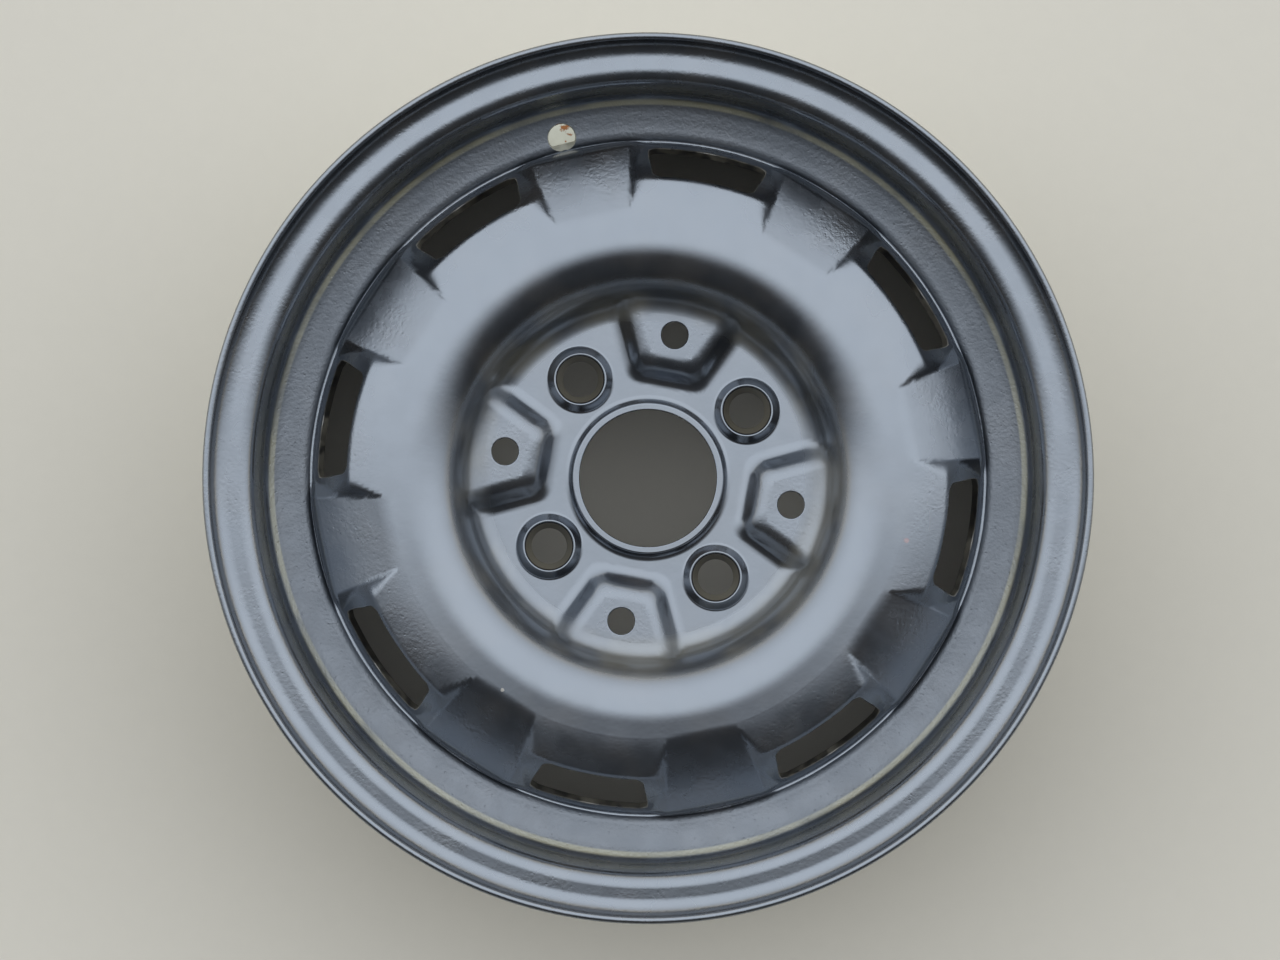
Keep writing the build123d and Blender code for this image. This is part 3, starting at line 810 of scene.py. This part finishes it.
def valve_wall(front, front_normals, back, back_normals):
    """The valve hole's wall between two rings: it stands in by VALVE_ROUND between its two edges."""
    across = back - front
    wall = front + across * np.array([0.0, 0.1, 0.5, 0.9, 1.0])[:, None, None]
    depth = unit(across)
    inward = unit(wall.mean(axis=1, keepdims=True) - wall)
    inward = unit(inward - np.sum(inward * depth, axis=-1, keepdims=True) * depth)
    wall[1:-1] += inward[1:-1] * VALVE_ROUND
    normals = inward.copy()
    normals[0] = unit(front_normals + inward[0])
    normals[-1] = unit(back_normals + inward[-1])
    return wall, normals


def rim_shell():
    """The hoop as one closed shell: slot 0 the enamelled side and lips, slot 1 the old paint elsewhere."""
    shell = Shell()
    phi = VALVE_AZIMUTH - 180.0 + 360.0 / RIM_COLUMNS * np.arange(RIM_COLUMNS)
    columns = (RIM_COLUMNS // 2 - VALVE_COLUMNS, RIM_COLUMNS // 2 + VALVE_COLUMNS)
    centre_line = shifted((SKIRT, WALL_LEVEL, VALVE_SLOPE), HOOP / 2)
    hole = np.array([VALVE_CIRCLE, line_height(centre_line, VALVE_CIRCLE)])
    sides = []
    for depth, way, lowest in ((HOOP, 1, -math.inf), (0.0, -1, VALVE_LOWEST)):
        profile, lefts = rim_side(depth)
        offset = (profile - hole) @ towards(VALVE_SLOPE)
        level = profile[:, 1]
        near = np.flatnonzero((level > 0.0) & (level < WALL_TOP) & (offset > VALVE_FIRST))
        high = near[np.argmax(offset[near] > VALVE_LAST)]
        sides.append((profile, lefts * way, offset, lowest, near[0] - 1, high))
    rows = max(high - low for *_, low, high in sides)

    (front, front_normals), (back, back_normals) = (
        valve_rings(profile, normals, offset, lowest, (high - rows, high), columns, phi)
        for profile, normals, offset, lowest, _, high in sides
    )
    shell.add_grid(front, front_normals)
    shell.add_grid(*valve_wall(front[-1], front_normals[-1], back[-1], back_normals[-1]), slot=1)
    shell.add_grid(back[::-1], back_normals[::-1], slot=1)
    for slot, (profile, normals, *_, high) in enumerate(sides):
        way = 1 - 2 * slot
        keep = np.ones((len(profile) - 1, RIM_COLUMNS), bool)
        keep[high - rows:high, slice(*columns)] = False
        rings, ring_normals = turned_rings(profile, normals, phi)
        shell.add_grid(rings[::way], ring_normals[::way], slot=slot, keep=keep[::way])

    barrel, tyre = sides[0][0], sides[1][0]
    lines = rim_lines()
    for start, end, line, way in ((barrel[-1], tyre[-1], lines[-1], 1), (tyre[0], barrel[0], lines[0], -1)):
        shell.add_grid(*turned_rings(*lip_arc(start, end, way * towards(line[2])), phi))
    return shell


# Welds

WELD_TOE = 2.9
WELD_LEG = 4.0
WELD_HALF = 8.0
WELD_CLOSING = 3.2
WELD_BITE = 0.05
WELD_DROP = 0.02
WELD_BULGE = 0.25
WELD_CREST = 0.2
WELD_RIPPLE = 1.9


def weld_shell():
    """A fillet bead under the skirt at each ramp: a bulged corner section, higher on each ripple's crest.

    Along the bead the section keeps its size, and it closes in a quarter ellipse at both ends. Its face is
    the chord from toe to toe plus a bulge, which goes as sin(pi t) at share t of the way.
    """
    shell = Shell()
    half = math.radians(WELD_HALF) * SKIRT
    along = np.linspace(-1.0, 1.0, 97)
    closing = np.clip((1.0 - np.abs(along)) * half / WELD_CLOSING, 0.0, 1.0)
    size = np.sqrt(closing * (2.0 - closing))
    t = np.linspace(0.0, 1.0, 11)
    swell = np.sin(math.pi * t)
    outward = np.array([-0.707, -0.707])
    corner = np.array([SKIRT - WELD_BITE, SKIRT_END - WELD_DROP])
    toe = np.array([WELD_BITE - WELD_TOE, 0.0])
    leg = np.array([0.0, WELD_BITE - WELD_LEG])
    chord = toe * (1 - t)[:, None] + leg * t[:, None]
    last = len(t) - 1
    for k in range(LANDS):
        ripple = 0.5 + 0.5 * np.cos(2 * math.pi * along * half / WELD_RIPPLE + 0.8 * k)
        bulge = WELD_BULGE + WELD_CREST * ripple[:, None] * swell
        face = chord + outward * (bulge * swell)[..., None]
        section = np.concatenate([face, np.zeros((len(along), 1, 2)), face[:, :1]], axis=1)
        section = corner + section * size[:, None, None]
        turn = PERIOD * (k + 0.5) + WELD_HALF * along[:, None]
        points = polar(section[..., 0], turn, section[..., 1])
        for part in (points[:, :last + 1], points[:, last:last + 2], points[:, last + 1:]):
            shell.add_grid(part, face_normals(part, around=False), around=False)
    return shell


# Materials: settings that repeat, for a smooth step and for a mix of two colours

SMOOTH = {"interpolation_type": "SMOOTHSTEP"}
BLEND = {"out": 2, "data_type": "RGBA"}

# Enamel: relief in millimetres, roughness, and its chips with their places, radii and what shows

ENAMEL = "satin_black_chassis_enamel"
PEEL = 0.014
WRINKLE = 0.10
RING_WRINKLE = 0.2
SAG = 0.05
SATIN = 0.20
CHIPS = [
    ((-10.2, 114.0, 26.2), 0.9, "d8d8d0"),
    ((-19.6, 134.0, 14.0), 0.8, "cfcfc8"),
    ((109.5, -5.6, 29.6), 1.2, "7a3f24"),
    ((-43.0, -97.0, 30.6), 1.0, "9a9488"),
    ((-9.9, -149.2, 12.1), 1.4, "0c0b0c"),
]


def add(tree, kind, inputs=(), out=0, **settings):
    """Adds a shader node with its settings, and gives one of its outputs.

    Its inputs are listed in order or named in a dict, each as a value or as another node's output.
    """
    node = tree.nodes.new("ShaderNode" + kind)
    for name, value in settings.items():
        setattr(node, name, value)
    for name, value in inputs.items() if isinstance(inputs, dict) else enumerate(inputs):
        if isinstance(value, bpy.types.NodeSocket):
            tree.links.new(value, node.inputs[name])
        else:
            node.inputs[name].default_value = value
    return node.outputs[out] if len(node.outputs) else None


def painted(name, build, plain):
    """A material: build lays its pattern on Object coordinates and gives colour, roughness and normal."""
    material = bpy.data.materials.new(name)
    material.use_nodes = True
    tree = material.node_tree
    tree.nodes.clear()
    place = add(tree, "TexCoord", out="Object")
    colour, roughness, normal = build(tree, place)
    sockets = {"Base Color": colour, "Roughness": roughness, "Normal": normal, **plain}
    if "Coat Weight" in plain:
        sockets["Coat Normal"] = normal
    shader = add(tree, "BsdfPrincipled", sockets)
    add(tree, "OutputMaterial", {"Surface": shader})
    return material


def chassis_enamel(tone, dust):
    """Satin chassis enamel, sprayed and brushed over an old wheel: near black, with a broad soft sheen.

    It lies smooth on the crown and hub. On the ring, the lands, the facets and the clip pads it has dried
    into wrinkles 1.4 mm wide over the old rust pits. Brown dust lies in patches. At the foot of the bowl's
    wall and in a line at the foot of the flange's wall it is paler: dust, and a painted highlight. The bolt
    seats are worn.
    """

    def build(tree, place):
        flat = add(tree, "VectorMath", [place, (1, 1, 0)], operation="MULTIPLY")
        r = add(tree, "VectorMath", [flat], out="Value", operation="LENGTH")
        z = add(tree, "SeparateXYZ", [place], out="Z")
        fold = add(tree, "VectorMath", [flat], operation="ABSOLUTE")
        bolt = [BOLT_CIRCLE * MM * math.sqrt(0.5)] * 2 + [0]
        from_bolt = add(tree, "VectorMath", [fold, bolt], out="Value", operation="DISTANCE")

        # Bands, each the product of two steps from 0 to 1 between two distances in millimetres: the tops of
        # the clip pads, the ring outside the vents, the foot of the bowl's wall and the flange's line of
        # dust and painted highlight
        bands = []
        for edges in (
            ((z, 8.5, 10.5), (r, 76.0, 69.0)),
            ((r, 140.0, 142.5), (r, 159.0, 155.5)),
            ((r, 64.0, 70.0), (r, 86.0, 77.0)),
            ((r, 154.8, 155.8), (r, 158.0, 156.8)),
        ):
            first, second = (
                add(tree, "MapRange", [source, start * MM, end * MM], **SMOOTH)
                for source, start, end in edges
            )
            bands.append(add(tree, "Math", [first, second], operation="MULTIPLY"))
        pads, ring, foot, line = bands
        outside = add(tree, "MapRange", [r, 104.0 * MM, 122.0 * MM], **SMOOTH)
        wrinkled = add(tree, "Math", [outside, pads], operation="MAXIMUM")
        seat = add(tree, "MapRange", [from_bolt, 9.9 * MM, 9.5 * MM], **SMOOTH)

        # Relief in millimetres: sags 11 mm long, wrinkles 1.4 mm wide that come and go, and pits 3 mm apart
        sags = add(tree, "TexNoise", {"Vector": place, "Scale": 90.0, "Detail": 2.0})
        patches = add(tree, "TexNoise", {"Vector": place, "Scale": 42.0, "Detail": 3.0})
        patchy = add(tree, "MapRange", [patches, 0.38, 0.66, 0.15, 1.0], **SMOOTH)
        fine = {"Vector": place, "Scale": 640.0, "Detail": 2.5, "Roughness": 0.55}
        wrinkles = add(tree, "TexNoise", fine)
        amount = add(tree, "Math", [wrinkled, patchy], operation="MULTIPLY")
        amount = add(tree, "Math", [amount, WRINKLE, PEEL], operation="MULTIPLY_ADD")
        amount = add(tree, "Math", [ring, RING_WRINKLE, amount], operation="MULTIPLY_ADD")
        relief = add(tree, "Math", [wrinkles, amount], operation="MULTIPLY")
        cells = add(tree, "TexVoronoi", {"Vector": place, "Scale": 310.0}, out="Distance")
        pits = add(tree, "MapRange", [cells, 0.2, 0.05], **SMOOTH)
        pits = add(tree, "Math", [pits, amount], operation="MULTIPLY")
        for form, height in ((sags, SAG), (pits, -0.4)):
            relief = add(tree, "Math", [form, height, relief], operation="MULTIPLY_ADD")
        normal = add(tree, "Bump", {"Height": relief, "Strength": 1.0, "Distance": MM})

        # Colour: dust in patches, paler dust with a painted highlight at the feet of the bowl's and
        # flange's walls, worn steel in the bolt seats, and chips down to the old paint or rust
        dusty = add(tree, "MapRange", [patches, 0.4, 0.7, 0.0, dust], **SMOOTH)
        # The foot of the bowl's wall in olive tan, in patches: dust, and a painted highlight
        foot_dust_and_highlight = add(tree, "Math", [foot, patchy], operation="MULTIPLY")
        foot_dust_and_highlight = add(tree, "Math", [foot_dust_and_highlight, 0.6], operation="MULTIPLY")
        # A pale tan line at the foot of the flange's wall, in patches: dust, and a painted highlight
        flange_dust_and_highlight = add(tree, "MapRange", [patches, 0.25, 0.6, 0.25, 0.9], **SMOOTH)
        flange_dust_and_highlight = add(tree, "Math", [line, flange_dust_and_highlight], operation="MULTIPLY")
        layers = [(dusty, "4a4237"), (foot_dust_and_highlight, "5f5947"), (seat, "5d584c"), (flange_dust_and_highlight, "8d8768")]
        for spot, radius, shade in CHIPS:
            middle = [c * MM for c in spot]
            away = add(tree, "VectorMath", [place, middle], out="Value", operation="DISTANCE")
            away = add(tree, "Math", [wrinkles, radius * MM, away], operation="MULTIPLY_ADD")
            bare = add(tree, "MapRange", [away, 1.45 * radius * MM, 1.3 * radius * MM], **SMOOTH)
            layers.append((bare, shade))
        colour = tone
        for layer, shade in layers:
            colour = add(tree, "Mix", {"Factor": layer, 6: colour, 7: srgb(shade)}, **BLEND)

        # Roughness: the satin's own, and what the rougher zones add to it
        roughness = add(tree, "MapRange", [sags, 0.3, 0.7, SATIN - 0.02, SATIN + 0.04], **SMOOTH)
        for zone, more in ((ring, 0.34), (seat, 0.12), (foot, 0.16), (wrinkled, 0.06)):
            roughness = add(tree, "Math", [zone, more, roughness], operation="MULTIPLY_ADD")
        return colour, roughness, normal

    # The blue-white specular tint is painted sky colour in the enamel's reflections
    return painted(ENAMEL, build, {
        "IOR": 2.1, "Specular IOR Level": 1.0, "Specular Tint": srgb("e6f1ff"),
        "Coat Weight": 0.3, "Coat IOR": 1.5, "Coat Roughness": 0.1,
    })


def old_paint():
    """The maker's pale grey paint, left where the tyre sat: chalky, with rust blooms 3 to 12 mm across."""

    def build(tree, place):
        blooms, specks, stains = (
            add(tree, "TexNoise", {"Vector": place, "Scale": scale, "Detail": detail, "Roughness": rough})
            for scale, detail, rough in ((85.0, 5.0, 0.62), (390.0, 3.0, 0.6), (25.0, 4.0, 0.6))
        )
        both = add(tree, "Math", [specks, 0.6, blooms], operation="MULTIPLY_ADD")
        rust = add(tree, "MapRange", [both, 0.92, 1.0], **SMOOTH)
        stained = add(tree, "MapRange", [stains, 0.42, 0.66, 0.0, 0.6], **SMOOTH)
        pale = add(tree, "Mix", {"Factor": stained, 6: srgb("b4b6ab"), 7: srgb("8f8c7c")}, **BLEND)
        brown = add(tree, "Mix", {"Factor": specks, 6: srgb("5e3218"), 7: srgb("96602f")}, **BLEND)
        colour = add(tree, "Mix", {"Factor": rust, 6: pale, 7: brown}, **BLEND)
        relief = add(tree, "Math", [rust, specks], operation="ADD")
        normal = add(tree, "Bump", {"Height": relief, "Strength": 1.0, "Distance": 0.06 * MM})
        roughness = add(tree, "MapRange", [rust, 0.0, 1.0, 0.5, 0.82])
        return colour, roughness, normal

    return painted("chalky_grey_wheel_paint", build, {"IOR": 1.5})


def sheared_edge():
    """Thin enamel over a sheared steel edge: the same black, worn olive brown where it has rusted."""

    def build(tree, place):
        wear = add(tree, "TexNoise", {"Vector": place, "Scale": 250.0, "Detail": 4.0})
        worn = add(tree, "MapRange", [wear, 0.35, 0.6], **SMOOTH)
        long = add(tree, "VectorMath", [place, (1, 1, 0.25)], operation="MULTIPLY")
        tears = add(tree, "TexNoise", {"Vector": long, "Scale": 1400.0, "Detail": 2.0})
        colour = add(tree, "Mix", {"Factor": worn, 6: srgb("1c1b19"), 7: srgb("3d392d")}, **BLEND)
        normal = add(tree, "Bump", {"Height": tears, "Strength": 1.0, "Distance": 0.035 * MM})
        roughness = add(tree, "MapRange", [worn, 0.0, 1.0, 0.36, 0.55])
        return colour, roughness, normal

    return painted("enamel_over_sheared_steel", build, {
        "IOR": 1.9, "Specular IOR Level": 0.8, "Coat Weight": 0.4, "Coat Roughness": 0.2,
    })


def matt_floor(colour):
    """Matt pale studio floor: flat emulsion with the faint mottle that a roller leaves, 6 mm across."""

    def build(tree, place):
        mottle = add(tree, "TexNoise", {"Vector": place, "Scale": 160.0, "Detail": 2.0})
        darker = [*(c * 0.97 for c in colour), 1.0]
        shade = add(tree, "Mix", {"Factor": mottle, 6: darker, 7: [*colour, 1.0]}, **BLEND)
        normal = add(tree, "Bump", {"Height": mottle, "Strength": 0.2, "Distance": 0.2 * MM})
        roughness = add(tree, "MapRange", {0: mottle, 3: 0.85, 4: 0.95})
        return shade, roughness, normal

    return painted("matt_pale_studio_floor", build, {"Specular IOR Level": 0.2})


# Photograph's view, in millimetres and degrees, and the studio

VIEW_ROLL = 10.6
VIEW_HEIGHT = 2200.0
VIEW_LENS = 148.0
VIEW_SENSOR = 36.0
PIXELS_A_MM = 2.405
VIEW_SHIFT = (8.0 / PIXELS_A_MM, 1.7 / PIXELS_A_MM)
FLOOR_GAP = 0.2
FLOOR_HALF = 6000.0


class WheelSizes(bpy.types.PropertyGroup):
    """Colours and amounts that a user would change."""

    paint: bpy.props.FloatVectorProperty(
        name="Paint", description="Colour of the chassis enamel", subtype="COLOR", size=3,
        min=0.0, max=1.0, default=srgb("121214")[:3],
    )
    dust: bpy.props.FloatProperty(
        name="Dust", description="Share of brown road dust in the enamel", subtype="FACTOR",
        min=0.0, max=1.0, default=0.25,
    )
    floor: bpy.props.FloatVectorProperty(
        name="Floor", description="Colour of the studio floor", subtype="COLOR", size=3,
        min=0.0, max=1.0, default=srgb("cdc9bf")[:3],
    )
    sky: bpy.props.FloatProperty(
        name="Soft light", description="Radiance of the open side of the dome",
        min=0.0, max=10.0, default=1.85,
    )


def shared_enamel(context):
    """The enamel, made once for the disc, the seam and the rim."""
    sizes = context.scene.wheel_sizes
    return bpy.data.materials.get(ENAMEL) or chassis_enamel((*sizes.paint, 1.0), sizes.dust)


class WHEEL_OT_disc(bpy.types.Operator):
    """Builds the pressed disc in enamel, with its sheared edges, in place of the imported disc."""

    bl_idname = "wheel.disc"
    bl_label = "Pressed disc"

    def execute(self, context):
        piece = disc_shell().build("pressed_disc", shared_enamel(context), sheared_edge())
        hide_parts("wheel_disc")
        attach(piece, "root")
        return {"FINISHED"}


class WHEEL_OT_seam(bpy.types.Operator):
    """Builds the line of enamel that has run together in the groove between the disc and the rim."""

    bl_idname = "wheel.seam"
    bl_label = "Enamel seam"

    def execute(self, context):
        piece = seam_shell().build("enamel_seam", shared_enamel(context))
        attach(piece, "root")
        return {"FINISHED"}


class WHEEL_OT_rim(bpy.types.Operator):
    """Builds the rolled rim: enamel on the side that shows, old pale paint where the tyre sat."""

    bl_idname = "wheel.rim"
    bl_label = "Rolled rim"

    def execute(self, context):
        piece = rim_shell().build("rolled_rim", shared_enamel(context), old_paint())
        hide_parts("rim")
        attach(piece, "root")
        return {"FINISHED"}


class WHEEL_OT_welds(bpy.types.Operator):
    """Builds the eight rippled weld beads behind the ramps."""

    bl_idname = "wheel.welds"
    bl_label = "Weld beads"

    def execute(self, context):
        piece = weld_shell().build("rippled_welds", sheared_edge())
        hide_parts("weld_beads")
        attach(piece, "root")
        return {"FINISHED"}


class WHEEL_OT_stage(bpy.types.Operator):
    """Lays the pale floor, sets the soft light and puts the camera where the photograph was taken."""

    bl_idname = "wheel.stage"
    bl_label = "Studio"

    def execute(self, context):
        sizes = context.scene.wheel_sizes
        scene = context.scene
        low = CAD_BOX[0][2] - FLOOR_GAP * MM
        reach = FLOOR_HALF * MM
        mesh = bpy.data.meshes.new("studio_floor")
        corners = [(-reach, -reach, low), (reach, -reach, low), (reach, reach, low), (-reach, reach, low)]
        mesh.from_pydata(corners, [], [(0, 1, 2, 3)])
        floor = bpy.data.objects.new("studio_floor", mesh)
        scene.collection.objects.link(floor)
        mesh.materials.append(matt_floor(sizes.floor))
        floor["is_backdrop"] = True

        # The photograph's right and up, as directions on the floor
        right = np.array([*towards(VIEW_ROLL), 0.0])
        up = np.array([*towards(VIEW_ROLL + 90.0), 0.0])
        camera = bpy.data.cameras.new("photo_camera")
        camera.lens = VIEW_LENS
        camera.sensor_width = VIEW_SENSOR
        camera.clip_end = 50.0
        eye = bpy.data.objects.new("photo_camera", camera)
        away = -(right * VIEW_SHIFT[0] + up * VIEW_SHIFT[1])
        eye.location = (away[0] * MM, away[1] * MM, VIEW_HEIGHT * MM)
        eye.rotation_euler = (0.0, 0.0, math.radians(VIEW_ROLL))
        scene.collection.objects.link(eye)
        scene.camera = eye

        # Dome: bright and cool above, dark on the side below the photograph, hazy and warm near the ground
        world = bpy.data.worlds.new("overcast_dome")
        scene.world = world
        world.use_nodes = True
        tree = world.node_tree
        tree.nodes.clear()
        way = add(tree, "TexCoord", out="Generated")
        side = add(tree, "VectorMath", [way, up], out="Value", operation="DOT_PRODUCT")
        height = add(tree, "SeparateXYZ", [way], out="Z")
        dark = 0.04 * sizes.sky
        open_side = add(tree, "MapRange", [side, -0.45, 0.12, dark, sizes.sky], **SMOOTH)
        haze = add(tree, "MapRange", [height, 0.0, 0.8, 0.62, 1.0], **SMOOTH)
        strength = add(tree, "Math", [open_side, haze], operation="MULTIPLY")
        warmth = add(tree, "MapRange", [height, 0.4, 0.02], **SMOOTH)
        colour = add(tree, "Mix", {"Factor": warmth, 6: srgb("f7fbff"), 7: srgb("fff1d9")}, **BLEND)
        light = add(tree, "Background", {"Color": colour, "Strength": strength})
        add(tree, "OutputWorld", {"Surface": light})
        scene.view_settings.view_transform = "Standard"
        return {"FINISHED"}


class WHEEL_PT_panel(bpy.types.Panel):
    """Lists the wheel's pieces and its colours."""

    bl_label = "Steel Wheel"
    bl_idname = "WHEEL_PT_panel"
    bl_space_type = "VIEW_3D"
    bl_region_type = "UI"
    bl_category = "Wheel"

    def draw(self, context):
        layout = self.layout
        for name in ("paint", "dust", "floor", "sky"):
            layout.prop(context.scene.wheel_sizes, name)
        for name in ("wheel.disc", "wheel.seam", "wheel.rim", "wheel.welds", "wheel.stage"):
            layout.operator(name)


CLASSES = (
    WheelSizes, WHEEL_OT_disc, WHEEL_OT_seam, WHEEL_OT_rim, WHEEL_OT_welds, WHEEL_OT_stage, WHEEL_PT_panel,
)


def register():
    for kind in CLASSES:
        bpy.utils.register_class(kind)
    bpy.types.Scene.wheel_sizes = bpy.props.PointerProperty(type=WheelSizes)


def unregister():
    del bpy.types.Scene.wheel_sizes
    for kind in reversed(CLASSES):
        bpy.utils.unregister_class(kind)


def main():
    register()
    bpy.ops.wheel.disc()
    bpy.ops.wheel.seam()
    bpy.ops.wheel.rim()
    bpy.ops.wheel.welds()
    bpy.ops.wheel.stage()
    boxes = {"cad": CAD_BOX, "visual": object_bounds()}
    boxes = {name: [list(corner) for corner in box] for name, box in boxes.items()}


if __name__ == "__main__":
    main()
